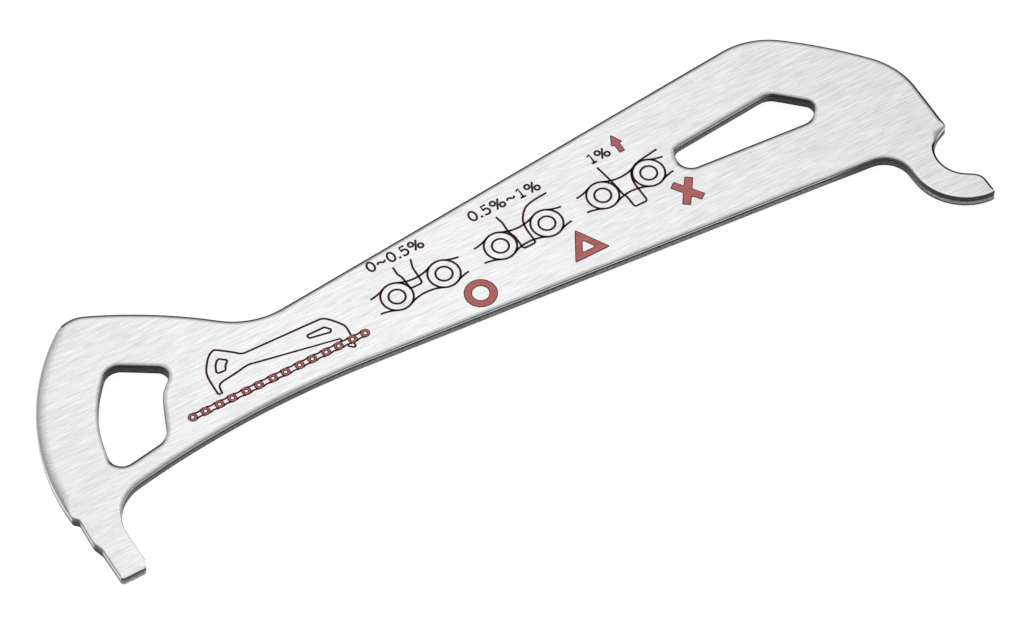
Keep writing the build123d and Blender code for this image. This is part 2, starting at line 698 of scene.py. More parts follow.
@dataclass(frozen=True)
class EdgeMap:
    """Says which kind of cut edge lies where on the gauge. Lengths are in millimetres.

    An edge's facing says how far it points along near_way: 1 along it and -1 against it. The kinds
    change with facing, and with them the painted light and shade of their tones, so that edges
    turned one way are painted darker than edges turned the other.

    Attributes:
        near_way: The level direction that the near edges point to.
        near: Facing over which an outer edge turns from a far one to a near one.
        tooth_side: X to the left of which the tooth and the heel lie.
        tooth_top: Y below which the tooth lies.
        heel_right: Most that a heel edge may point to the right.
        heel_down: Least that it may point up.
        heel: Rightward part of the way out over which a far edge turns into the heel's.
        heel_foot: Height over which the heel's edge turns into the tooth's flank.
        arch: X over which the lower edge turns into the arch.
        root: X over which the lower edge turns into the hook's root.
        hook: Height over which the root turns into the hook.
        hook_end_side: X to the right of which the finger, the seat and the beak lie.
        hook_end_top: Y below which they lie.
        window_near: Facing over which a window's side wall turns into a near one.
        window_far: Facing over which it turns into a far one.
        light_start: X over which the long window's lighter upper wall starts.
        light_end: X over which it ends.
        light_way: Upward part of the way out over which the wall counts as the upper one.
        ledge: Upward part of the way out over which a flank turns into a ledge.
        tooth_end: Height over which a ledge turns into the tooth's end.
        seat_near: Facing over which the seat turns into a near edge.
        beak: Height over which the hook's near edge turns into the beak's.
        beak_right: Height over which the seat turns into the beak's right side.
    """

    near_way: Point = (-0.515, -0.857)
    near: Ease = Ease(-0.15, 0.25)
    tooth_side: float = -112.0
    tooth_top: float = 9.9
    heel_right: float = 0.2
    heel_down: float = -0.5
    heel: Ease = Ease(0.1, -0.6)
    heel_foot: Ease = Ease(12.5, 9.2)
    arch: Ease = Ease(-82.0, -92.0)
    root: Ease = Ease(-19.0, -12.5)
    hook: Ease = Ease(2.0, -4.0)
    hook_end_side: float = -5.5
    hook_end_top: float = 6.5
    window_near: Ease = Ease(0.0, 0.45)
    window_far: Ease = Ease(-0.25, -0.75)
    light_start: Ease = Ease(-16.0, -19.0)
    light_end: Ease = Ease(-50.0, -40.0)
    light_way: Ease = Ease(-0.8, -0.95)
    ledge: Ease = Ease(-0.10, -0.24)
    tooth_end: Ease = Ease(0.5, -1.0)
    seat_near: Ease = Ease(0.0, 0.35)
    beak: Ease = Ease(2.5, 3.5)
    beak_right: Ease = Ease(3.8, 5.0)

    def at(self, rim: Rim, number: int) -> dict[Cut, float]:
        """The kinds of cut edge at one place of a rim.

        Args:
            rim: The rim.
            number: The place along it.

        Returns:
            How much of each kind there is.
        """
        point = rim.points[number] / MM
        out = rim.outward[number]
        facing = out.dot(Vector(self.near_way))
        if rim.is_window:
            return self._window(point, out, facing)
        near = self.near.at(facing)
        if point.x < self.tooth_side and point.y < self.tooth_top:
            return self._tooth(point, out, near)
        if point.x < self.tooth_side and out.x < self.heel_right and out.y > self.heel_down:
            heel = self.heel.at(out.x)
            foot = heel * self.heel_foot.at(point.y)
            return {Cut.HEEL: heel - foot, Cut.FLANK: foot, Cut.FAR: 1 - heel}
        if point.x > self.hook_end_side and point.y < self.hook_end_top:
            return self._hook_end(point, facing)
        arch = self.arch.at(point.x)
        root = self.root.at(point.x)
        hook = root * self.hook.at(point.y)
        return {
            Cut.ARCH: near * arch,
            Cut.LOWER: near * (1 - arch) * (1 - root),
            Cut.ROOT: near * (root - hook),
            Cut.HOOK: near * hook,
            Cut.FAR: 1 - near,
        }

    def _window(self, point: Vector, out: Vector, facing: float) -> dict[Cut, float]:
        """The kinds round a window: the long one's upper wall is lighter than the rest.

        Args:
            point: The place in millimetres.
            out: The way out of the steel there.
            facing: The edge's facing.

        Returns:
            How much of each kind there is.
        """
        # Window walls get darker tones, painted shade inside the window
        near = self.window_near.at(facing)
        far = self.window_far.at(facing)
        light = self.light_start.at(point.x) * self.light_end.at(point.x) * self.light_way.at(out.y)
        return {
            Cut.WINDOW: near * (1 - light),
            Cut.ARCH: near * light,
            Cut.FAR: far,
            Cut.SIDE: 1 - near - far,
        }

    def _tooth(self, point: Vector, out: Vector, near: float) -> dict[Cut, float]:
        """The kinds on the ground tooth: flanks, the ledges between them, and the end.

        Args:
            point: The place in millimetres.
            out: The way out of the steel there.
            near: How much of a near edge it is.

        Returns:
            How much of each kind there is.
        """
        if out.x > 0 and point.y > 0:
            return {Cut.ARCH: near, Cut.FLANK: 1 - near}
        down = self.ledge.at(out.y)
        low = self.tooth_end.at(point.y)
        return {Cut.END: down * low, Cut.LEDGE: down * (1 - low), Cut.FLANK: 1 - down}

    def _hook_end(self, point: Vector, facing: float) -> dict[Cut, float]:
        """The kinds on the finger, in the seat and on the beak.

        Args:
            point: The place in millimetres.
            facing: The edge's facing.

        Returns:
            How much of each kind there is.
        """
        near = self.seat_near.at(facing)
        beak = self.beak.at(point.y)
        right = self.beak_right.at(point.y) * (1 - near)
        return {
            Cut.BEAK: near * beak,
            Cut.HOOK: near * (1 - beak),
            Cut.FAR: right,
            Cut.SEAT: 1 - near - right,
        }


@dataclass(frozen=True)
class SectionPoint:
    """One point of the edge's section.

    Attributes:
        outset: Its distance out from the nominal edge.
        height: Its height.
        tone: The light that it gives back, as a share of the face's: painted light and shade in its colour.
        torn: How rough it is, from 0 to 1.
        lean: The outward and upward parts of its normal, or None where the mesh gives it.
    """

    outset: float
    height: float
    tone: float
    torn: float
    lean: Point | None = None


@dataclass
class StampedPlate:
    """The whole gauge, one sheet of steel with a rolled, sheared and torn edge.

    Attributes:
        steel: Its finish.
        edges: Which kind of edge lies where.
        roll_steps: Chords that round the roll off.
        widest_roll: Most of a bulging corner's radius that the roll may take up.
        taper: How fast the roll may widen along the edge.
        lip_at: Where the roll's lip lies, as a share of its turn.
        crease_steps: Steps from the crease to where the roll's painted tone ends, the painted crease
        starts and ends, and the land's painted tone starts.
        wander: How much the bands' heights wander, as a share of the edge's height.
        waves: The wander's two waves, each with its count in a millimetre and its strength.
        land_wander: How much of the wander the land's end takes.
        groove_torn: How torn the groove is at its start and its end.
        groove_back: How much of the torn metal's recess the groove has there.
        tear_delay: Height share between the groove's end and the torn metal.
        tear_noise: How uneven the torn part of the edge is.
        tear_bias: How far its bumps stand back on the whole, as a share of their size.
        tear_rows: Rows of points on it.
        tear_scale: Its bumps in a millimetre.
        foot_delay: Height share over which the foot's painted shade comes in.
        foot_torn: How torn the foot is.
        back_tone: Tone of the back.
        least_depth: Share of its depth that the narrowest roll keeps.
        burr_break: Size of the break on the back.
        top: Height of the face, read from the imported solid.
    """

    steel: BrushedSteel = field(default_factory=BrushedSteel)
    edges: EdgeMap = field(default_factory=EdgeMap)
    roll_steps: int = 12
    widest_roll: float = 0.75
    taper: float = 0.5
    lip_at: float = 0.12
    crease_steps: tuple[float, ...] = (-0.12, -0.03, 0.04, 0.13)
    wander: float = 0.035
    waves: tuple[Point, Point] = ((0.9, 1.0), (3.1, 0.5))
    land_wander: float = 0.4
    groove_torn: Point = (0.3, 0.6)
    groove_back: Point = (0.7, 1.0)
    tear_delay: float = 0.16
    tear_noise: float = 0.03 * MM
    tear_bias: float = 0.5
    tear_rows: int = 5
    tear_scale: float = 3.3
    foot_delay: float = 0.05
    foot_torn: float = 0.6
    back_tone: float = 0.9
    least_depth: float = 0.4
    burr_break: float = 0.03 * MM
    top: float = field(init=False, default=0.0)

    def build(self) -> bpy.types.Object:
        """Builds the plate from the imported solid's own outline.

        Returns:
            The finished plate.
        """
        self.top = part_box(PLATE_NODE)[1].z
        shape = bmesh.new()
        # The cut edge's bands with their painted light and shade go on the vertices
        painted_light_layer = shape.verts.layers.float.new("tone")
        torn_layer = shape.verts.layers.float.new("torn")
        normals: list[Vector | None] = []
        top_rings: list[list[bmesh.types.BMVert]] = []
        back_rings: list[list[bmesh.types.BMVert]] = []
        for rim in RimReader().read(PLATE_NODE):
            columns = []
            for number, section in enumerate(self._sections(rim)):
                column = []
                out = rim.outward[number]
                for spot in section:
                    place = rim.points[number] + out * spot.outset
                    vert = shape.verts.new((place.x, place.y, spot.height))
                    vert[painted_light_layer] = spot.tone
                    vert[torn_layer] = spot.torn
                    column.append(vert)
                    lean = None
                    if spot.lean:
                        lean = Vector((out.x * spot.lean[0], out.y * spot.lean[0], spot.lean[1])).normalized()
                    normals.append(lean)
                columns.append(column)
            for column, following in zip(columns, columns[1:] + columns[:1]):
                for row in range(len(column) - 1):
                    shape.faces.new((column[row], column[row + 1], following[row + 1], following[row]))
            top_rings.append([column[0] for column in columns])
            back_rings.append([column[-1] for column in columns])
        wall_faces = len(shape.faces)
        self._close(shape, top_rings, UP)
        top_faces = len(shape.faces)
        self._close(shape, back_rings, DOWN)
        for face in shape.faces:
            face.smooth = True
        mesh = bpy.data.meshes.new("stamped_plate")
        shape.to_mesh(mesh)
        shape.free()
        self._set_normals(mesh, normals, wall_faces, top_faces)
        mesh.materials.append(self.steel.make())
        return put_in_scene("stamped_plate", mesh)

    @staticmethod
    def _close(shape: bmesh.types.BMesh, rings: list[list[bmesh.types.BMVert]], way: Vector) -> None:
        """Fills the flat between the outer ring and the windows' rings.

        Args:
            shape: The plate so far.
            rings: The rings of vertices, the outer one first.
            way: The way that the flat faces.
        """
        verts = [vert for ring in rings for vert in ring]
        edges = []
        for ring in rings:
            start = len(edges)
            edges += [(start + i, start + (i + 1) % len(ring)) for i in range(len(ring))]
        given = [vert.co.xy for vert in verts]
        points, _, triangles, origins, _, _ = geometry.delaunay_2d_cdt(given, edges, [], 1, 0.0)
        tone = shape.verts.layers.float["tone"]
        used = []
        for point, origin in zip(points, origins):
            if origin:
                used.append(verts[origin[0]])
                continue
            log.warning("two stretches of the rim cross near %.1f, %.1f mm", point.x / MM, point.y / MM)
            used.append(shape.verts.new((point.x, point.y, verts[0].co.z)))
            used[-1][tone] = 1.0
        windows = [[vert.co.xy for vert in ring] for ring in rings[1:]]
        for triangle in triangles:
            corners = [used[i] for i in triangle]
            middle = sum((vert.co.xy for vert in corners), Vector((0.0, 0.0))) / len(corners)
            if any(is_inside(middle, window) for window in windows):
                continue
            shape.faces.new(corners if way.z > 0 else corners[::-1])

    @staticmethod
    def _set_normals(
        mesh: bpy.types.Mesh, normals: list[Vector | None], wall_faces: int, top_faces: int
    ) -> None:
        """Gives the flats their flat normals and the roll its round ones.

        Args:
            mesh: The plate's mesh.
            normals: For each vertex, its normal on the roll, or None.
            wall_faces: How many faces the edges have.
            top_faces: How many faces there are up to the last one of the printed face.
        """
        corner_normals = [Vector((0.0, 0.0, 0.0))] * len(mesh.loops)
        for polygon in mesh.polygons:
            for loop in polygon.loop_indices:
                if polygon.index < wall_faces:
                    lean = normals[mesh.loops[loop].vertex_index]
                    if lean is not None:
                        corner_normals[loop] = lean
                else:
                    corner_normals[loop] = UP if polygon.index < top_faces else DOWN
        mesh.normals_split_custom_set(corner_normals)

    def _sections(self, rim: Rim) -> Iterable[list[SectionPoint]]:
        """Works out the edge's section at every place of a rim.

        Args:
            rim: The rim.

        Yields:
            For each place, the section's points from the face to the back.
        """
        kinds = [Cut.blend(self.edges.at(rim, number)) for number in range(len(rim.points))]
        widths = []
        for number, kind in enumerate(kinds):
            roundness = rim.roundness(number)
            room = self.widest_roll / roundness - kind.lean * MM if roundness else kind.width * MM
            widths.append(min(kind.width * MM, room))
        self._taper(rim, widths)
        self._unfold(rim, [width + kind.lean * MM for width, kind in zip(widths, kinds)])
        for number, (kind, width) in enumerate(zip(kinds, widths)):
            kept = self.least_depth + (1 - self.least_depth) * width / (kind.width * MM)
            depth = kind.depth * MM * min(1.0, kept)
            yield [*self._roll(kind, width, depth), *self._wall(kind, depth, rim.points[number])]

    def _taper(self, rim: Rim, widths: list[float]) -> None:
        """Narrows the roll towards tight corners, so that the two sides' rolls don't cross.

        Args:
            rim: The rim.
            widths: The roll's width at each place, which is changed.
        """
        count = len(widths)
        for way in (1, -1):
            for i in range(0, way * 2 * count, way):
                here, before = i % count, (i - way) % count
                reach = (rim.points[here] - rim.points[before]).length
                widths[here] = min(widths[here], widths[before] + self.taper * reach)

    @staticmethod
    def _unfold(rim: Rim, reaches: list[float]) -> None:
        """Turns the way out of a place after which the section's start would step backwards.

        Args:
            rim: The rim, whose ways out are changed.
            reaches: How far into the face each place's section starts.
        """
        for here, reach in enumerate(reaches):
            after = (here + 1) % len(reaches)
            run = rim.points[after] - rim.points[here]
            step = run + rim.outward[here] * reach - rim.outward[after] * reaches[after]
            if step.dot(run) < 0:
                rim.outward[here] = (rim.outward[here - 1] + rim.outward[after]).normalized()

    def _roll(self, kind: CutEdge, width: float, depth: float) -> Iterable[SectionPoint]:
        """Works out the section's rolled part.

        Args:
            kind: The kind of edge.
            width: Width of the roll.
            depth: Its depth.

        Yields:
            Its points, from the face round to the wall.
        """
        roll_end, crease_start, crease_end, land_start = (kind.crease_at + s for s in self.crease_steps)
        # Painted light and shade along the roll: the lip, the roll, the crease and the land
        painted_light_stops = [
            (0.0, 1.0),
            (self.lip_at, kind.lip_painted_light),
            (roll_end, kind.roll),
            (crease_start, kind.crease_painted_light),
            (crease_end, kind.crease_painted_light),
            (land_start, kind.land_burnish_and_painted_light),
            (1.0, kind.land_burnish_and_painted_light),
        ]
        for step in range(self.roll_steps + 1):
            share = step / self.roll_steps
            turn = math.pi / 2 * share
            yield SectionPoint(
                outset=-width * (1 - math.sin(turn)) - kind.lean * MM,
                height=self.top - depth * (1 - math.cos(turn)),
                tone=along(painted_light_stops, share),
                torn=0.0,
                lean=(depth * math.sin(turn), width * math.cos(turn)),
            )

    def _wall(self, kind: CutEdge, depth: float, point: Vector) -> Iterable[SectionPoint]:
        """Works out the section's upright part.

        Args:
            kind: The kind of edge.
            depth: Depth of the roll above it.
            point: The place on the rim.

        Yields:
            Its points, from the land down to the back.
        """
        seed = Vector((point.x / MM, point.y / MM, 0.0))
        wave = sum(strength * noise.noise(seed * scale) for scale, strength in self.waves) * self.wander
        start = self.top - depth
        # Painted light and shade down the wall: the land, the groove, the torn metal and the foot
        rows = [
            (kind.land_end + wave * self.land_wander, kind.land_burnish_and_painted_light, 0.0, 0.0),
            (kind.groove_start + wave, kind.groove_painted_light, self.groove_torn[0], self.groove_back[0]),
            (kind.groove_end + wave, kind.groove_painted_light, self.groove_torn[1], self.groove_back[1]),
        ]
        torn_start = kind.groove_end + self.tear_delay + wave
        for row in range(self.tear_rows):
            share = row / (self.tear_rows - 1)
            rows.append((torn_start + (kind.foot_start - torn_start) * share, kind.fracture_grey_and_painted_light, 1.0, 1.0))
        rows.append((kind.foot_start + self.foot_delay, kind.foot, 1.0, 1.0))
        recess = kind.recess * MM
        for share, tone, torn, back in rows:
            height = start + (self.burr_break - start) * share
            rough = noise.noise(Vector((seed.x, seed.y, height / MM)) * self.tear_scale)
            outset = back * (self.tear_noise * kind.tearing * (rough - self.tear_bias) - recess)
            lean = kind.lean * MM * (1 - share)
            yield SectionPoint(min(outset, 0.0) - lean, height, tone, torn * kind.tearing)
        yield SectionPoint(-recess, self.burr_break, kind.foot, self.foot_torn)
        yield SectionPoint(-recess - self.burr_break, 0.0, self.back_tone, 0.0)


def is_inside(point: Vector, loop: Sequence[Vector]) -> bool:
    """Whether a point lies inside a closed loop.

    Args:
        point: The point.
        loop: The loop's corners.

    Returns:
        Whether it lies inside.
    """
    inside = False
    for a, b in zip(loop, [*loop[1:], loop[0]]):
        if (a.y > point.y) != (b.y > point.y):
            inside ^= point.x < a.x + (point.y - a.y) * (b.x - a.x) / (b.y - a.y)
    return inside


def hermite(
    start: Vector, end: Vector, leave: Vector, arrive: Vector, share: float
) -> tuple[Vector, Vector]:
    """A place and heading on a smooth curve.

    Args:
        start: Where the curve starts.
        end: Where it ends.
        leave: Its speed at the start.
        arrive: Its speed at the end.
        share: How far along it the place lies, from 0 to 1.

    Returns:
        The place, and the heading there.
    """
    t = share
    place = (
        start * (2 * t**3 - 3 * t**2 + 1)
        + leave * (t**3 - 2 * t**2 + t)
        + end * (3 * t**2 - 2 * t**3)
        + arrive * (t**3 - t**2)
    )
    heading = (
        start * (6 * t**2 - 6 * t)
        + leave * (3 * t**2 - 4 * t + 1)
        + end * (6 * t - 6 * t**2)
        + arrive * (3 * t**2 - 2 * t)
    )
    return place, heading


def along(stops: Sequence[Point], share: float) -> float:
    """The value at one share of the way along straight runs between stops.

    Args:
        stops: Shares of the way, each with its value.
        share: The share.

    Returns:
        The value there.
    """
    for (start, low), (end, high) in zip(stops, stops[1:]):
        if share <= end:
            return low + (high - low) * (share - start) / (end - start)
    return stops[-1][1]


def arc(centre: Point, radius: float, start: float, end: float, steps: int = 24) -> Loop:
    """Points on an arc.

    Args:
        centre: Its centre.
        radius: Its radius.
        start: Angle of its first point, in degrees.
        end: Angle of its last point, in degrees.
        steps: How many chords it has.

    Returns:
        The points.
    """
    angles = [math.radians(start + (end - start) * step / steps) for step in range(steps + 1)]
    return [(centre[0] + radius * math.cos(a), centre[1] + radius * math.sin(a)) for a in angles]


def rounded(points: Loop, radius: float, closed: bool = False, chord: float = 12.0) -> Loop:
    """A path of straight runs whose corners are arcs.

    Args:
        points: The corners.
        radius: Radius of the arcs, where the runs leave room for it.
        closed: Whether the path closes on itself.
        chord: Degrees that one chord of an arc spans.

    Returns:
        The points of the rounded path.
    """
    path: Loop = []
    count = len(points)
    for i, here in enumerate(points):
        if not closed and i in (0, count - 1):
            path.append(here)
            continue
        corner = Vector(here)
        back = Vector(points[i - 1]) - corner
        on = Vector(points[(i + 1) % count]) - corner
        half = back.angle(on) / 2
        reach = min(radius / math.tan(half), MOST_OF_SIDE * back.length, MOST_OF_SIDE * on.length)
        middle = corner + (back.normalized() + on.normalized()).normalized() * reach / math.cos(half)
        first = corner + back.normalized() * reach
        last = corner + on.normalized() * reach
        steps = max(2, round(math.degrees(math.pi - 2 * half) / chord))
        sweep = (first - middle).angle_signed(last - middle)
        for step in range(steps + 1):
            turn = Matrix.Rotation(-sweep * step / steps, 2)
            path.append(tuple(middle + turn @ (first - middle)))
    return path


def flowing(points: Loop, steps: int = 8) -> Loop:
    """A smooth open path through every point.

    Args:
        points: The places that it passes.
        steps: Chords between two places.

    Returns:
        The points of the path.
    """
    ends = [points[0], *points, points[-1]]
    path: Loop = []
    for before, start, end, after in zip(ends, ends[1:], ends[2:], ends[3:]):
        leave = (Vector(end) - Vector(before)) / 2
        arrive = (Vector(after) - Vector(start)) / 2
        for step in range(steps):
            path.append(tuple(hermite(Vector(start), Vector(end), leave, arrive, step / steps)[0]))
    path.append(points[-1])
    return path


def moved(points: Loop, centre: Point) -> Loop:
    """The points moved by the place of their new centre."""
    return [(x + centre[0], y + centre[1]) for x, y in points]


def inset(loop: Loop, distance: float) -> Loop:
    """A closed loop moved to its left, which is inwards for an anticlockwise one.

    Args:
        loop: The loop.
        distance: How far it moves.

    Returns:
        The moved loop.
    """
    moved_loop: Loop = []
    for i, here in enumerate(loop):
        before = (Vector(here) - Vector(loop[i - 1])).normalized()
        after = (Vector(loop[(i + 1) % len(loop)]) - Vector(here)).normalized()
        first = Vector((-before.y, before.x))
        second = Vector((-after.y, after.x))
        shift = (first + second) / (1 + first.dot(second)) * distance
        moved_loop.append((here[0] + shift.x, here[1] + shift.y))
    return moved_loop


def circle(centre: Point, radius: float, clockwise: bool = False, steps: int = 64) -> Loop:
    """A closed circle of points."""
    turn = -360.0 if clockwise else 360.0
    return arc(centre, radius, 0.0, turn, steps)[:-1]


def figures(chords: int = 24) -> dict[str, list[tuple[Loop, bool]]]:
    """Draws the signs of the readings, one unit high.

    Args:
        chords: Chords of a small circle.

    Returns:
        For each sign its strokes, each with whether it closes on itself.
    """
    zero = [(0.33 + 0.33 * x, 0.5 + 0.5 * y) for x, y in circle((0.0, 0.0), 1.0, steps=32)]
    bowl = [(0.08, 0.56), (0.30, 0.63), (0.52, 0.55), (0.62, 0.32), (0.52, 0.08), (0.28, 0.0), (0.0, 0.07)]
    wave = [(0.0, 0.36), (0.12, 0.50), (0.28, 0.53), (0.56, 0.38), (0.72, 0.40), (0.85, 0.54)]
    return {
        "0": [(zero, True)],
        "1": [([(0.04, 0.84), (0.32, 1.0), (0.32, 0.0)], False), ([(0.04, 0.0), (0.60, 0.0)], False)],
        "5": [([(0.56, 1.0), (0.08, 1.0), *flowing(bowl)], False)],
        ".": [([(0.02, 0.0), (0.10, 0.0), (0.10, 0.07), (0.02, 0.07)], True)],
        "~": [(flowing(wave), False)],
        "%": [
            (circle((0.24, 0.76), 0.24, steps=chords), True),
            (circle((0.98, 0.24), 0.24, steps=chords), True),
            ([(0.89, 1.03), (0.33, -0.03)], False),
        ],
    }


GLYPHS = figures()


@dataclass
class Press:
    """Lays thin films of ink on the face.

    Attributes:
        face: Height of the face.
        film: Thickness of one film.
        sink: How far a film reaches into the face, so that no gap shows under it.
        stroke: Width of the print's thin lines.
        rim: Width of the dark rim round a red mark.
        letter: Width of the figures' strokes.
        maroon: The ink of the lines and figures.
        red: The ink of the marks.
    """

    face: float
    film: float = 0.012 * MM
    sink: float = 0.004 * MM
    stroke: float = 0.28 * MM
    rim: float = 0.115 * MM
    letter: float = 0.29 * MM
    maroon: PrintedInk = PrintedInk("maroon_ink", (0.042, 0.004, 0.006, 1.0), (0.11, 0.022, 0.026, 1.0))
    red: PrintedInk = PrintedInk("red_ink", (0.64, 0.165, 0.160, 1.0), (0.74, 0.240, 0.230, 1.0))

    def __post_init__(self) -> None:
        """Mixes the two inks and builds the trees that lay lines and rollers."""
        self.inks = {Slot.MAROON: self.maroon.make(), Slot.RED: self.red.make()}
        self.line_tree = LineTree().make()
        self.ring_tree = RingRowTree().make()
        self.waist_tree = WaistTree().make()

    def finish(self, piece: bpy.types.Object, slot: Slot) -> bpy.types.Object:
        """Turns a film's faces outwards, gives it its ink and hands it over.

        Args:
            piece: The film.
            slot: The ink.

        Returns:
            The finished film.
        """
        shape = bmesh.new()
        shape.from_mesh(piece.data)
        bmesh.ops.remove_doubles(shape, verts=shape.verts, dist=WELD)
        bmesh.ops.recalc_face_normals(shape, faces=shape.faces)
        shape.to_mesh(piece.data)
        shape.free()
        if not piece.data.materials:
            piece.data.materials.append(self.inks[slot])
        hand_over(piece, slot)
        return piece

    def field(self, name: str, loops: Sequence[Loop], slot: Slot, layer: int = 0) -> bpy.types.Object:
        """Prints a filled shape.

        Args:
            name: Name of the piece.
            loops: The outer loop and any holes, in millimetres.
            slot: The ink.
            layer: 0 on the steel, 1 on a film below.

        Returns:
            The printed piece.
        """
        low = self.face - self.sink + layer * self.film
        high = self.face + self.film * (layer + 1)
        shape = bmesh.new()
        for loop in loops:
            verts = [shape.verts.new((x * MM, y * MM, high)) for x, y in loop]
            for first, second in zip(verts, verts[1:] + verts[:1]):
                shape.edges.new((first, second))
        bmesh.ops.triangle_fill(shape, use_beauty=True, edges=shape.edges, normal=UP)
        raised = bmesh.ops.extrude_face_region(shape, geom=shape.faces[:])
        lowered = [item for item in raised["geom"] if isinstance(item, bmesh.types.BMVert)]
        bmesh.ops.translate(shape, verts=lowered, vec=(0.0, 0.0, low - high))
        mesh = bpy.data.meshes.new(name)
        shape.to_mesh(mesh)
        shape.free()
        return self.finish(put_in_scene(name, mesh), slot)

    def middle(self, layer: int = 0) -> float:
        """Height of the middle of a film on that layer."""
        return self.face + (self.film - self.sink) / 2 + layer * self.film

    def lay(
        self,
        guide: bpy.types.Object,
        tree: bpy.types.NodeTree,
        sizes: dict[str, float],
        name: str,
        slot: Slot,
    ) -> None:
        """Prints what a tree grows from a guide.

        Args:
            guide: The object that the tree starts from.
            tree: The tree.
            sizes: The tree's named inputs, apart from the film's thickness and ink.
            name: Name of the piece.
            slot: The ink.
        """
        film = {"Film Thickness": self.film + self.sink, "Ink": self.inks[slot]}
        self.finish(grow(guide, tree, {**sizes, **film}, name), slot)

    def mark(self, name: str, outer: Loop, holes: Sequence[Loop] = ()) -> None:
        """Prints a red mark with its dark rim.

        Args:
            name: Name of the mark.
            outer: Its outline, anticlockwise.
            holes: Holes in it, clockwise.
        """
        loops = [outer, *holes]
        self.field(f"{name}_rim", loops, Slot.MAROON)
        self.field(f"{name}_fill", [inset(loop, self.rim / MM) for loop in loops], Slot.RED, layer=1)

    def lines(self, name: str, paths: Sequence[tuple[Loop, bool]], width: float | None = None) -> None:
        """Prints thin lines.

        Args:
            name: Name of the piece.
            paths: Each line's points in millimetres, and whether it closes on itself.
            width: Width of the lines in metres, if not the usual one.
        """
        curve = bpy.data.curves.new(name, "CURVE")
        curve.dimensions = "3D"
        for points, closed in paths:
            spline = curve.splines.new("POLY")
            spline.points.add(len(points) - 1)
            for target, (x, y) in zip(spline.points, points):
                target.co = (x * MM, y * MM, self.middle(), 1.0)
            spline.use_cyclic_u = closed
        guide = put_in_scene(f"{name}_guide", curve)
        self.lay(guide, self.line_tree, {"Line Width": width or self.stroke}, name, Slot.MAROON)

    def words(self, name: str, body: str, low: Point, high: Point) -> None:
        """Prints figures that fill a given box.

        Args:
            name: Name of the piece.
            body: The figures.
            low: The box's lower left corner in millimetres.
            high: Its upper right corner.
        """
        inset_by = self.letter / MM / 2
        left, base = low[0] + inset_by, low[1] + inset_by
        size = high[1] - low[1] - 2 * inset_by
        widths = [max(x for path, _ in GLYPHS[sign] for x, _ in path) * size for sign in body]
        gap = (high[0] - inset_by - left - sum(widths)) / max(1, len(body) - 1)
        paths = []
        for sign, width in zip(body, widths):
            for path, closed in GLYPHS[sign]:
                paths.append(([(left + x * size, base + y * size) for x, y in path], closed))
            left += width + gap
        self.lines(name, paths, self.letter)


def grow(
    guide: bpy.types.Object, tree: bpy.types.NodeTree, sizes: dict[str, Any], name: str
) -> bpy.types.Object:
    """Runs a tree of Geometry Nodes on an object and keeps the result as a plain mesh.

    Args:
        guide: The object that the tree starts from. It is removed afterwards.
        tree: The tree.
        sizes: The tree's named inputs.
        name: Name of the new piece.

    Returns:
        The new piece.
    """
    modifier = guide.modifiers.new("grow", "NODES")
    modifier.node_group = tree
    for item in tree.interface.items_tree:
        if item.in_out == "INPUT" and item.name in sizes:
            modifier[item.identifier] = sizes[item.name]
    bpy.context.view_layer.update()
    mesh = bpy.data.meshes.new_from_object(guide.evaluated_get(bpy.context.evaluated_depsgraph_get()))
    guide.modifiers.remove(modifier)
    bpy.data.objects.remove(guide)
    mesh.name = name
    return put_in_scene(name, mesh)


# Chords of the arc that starts a link
STUB_CHORDS = 10
# The usual sizes of a printed line, by the name of the input
LINE_SIZES = {"Line Width": 0.2 * MM, "Film Thickness": 0.016 * MM}


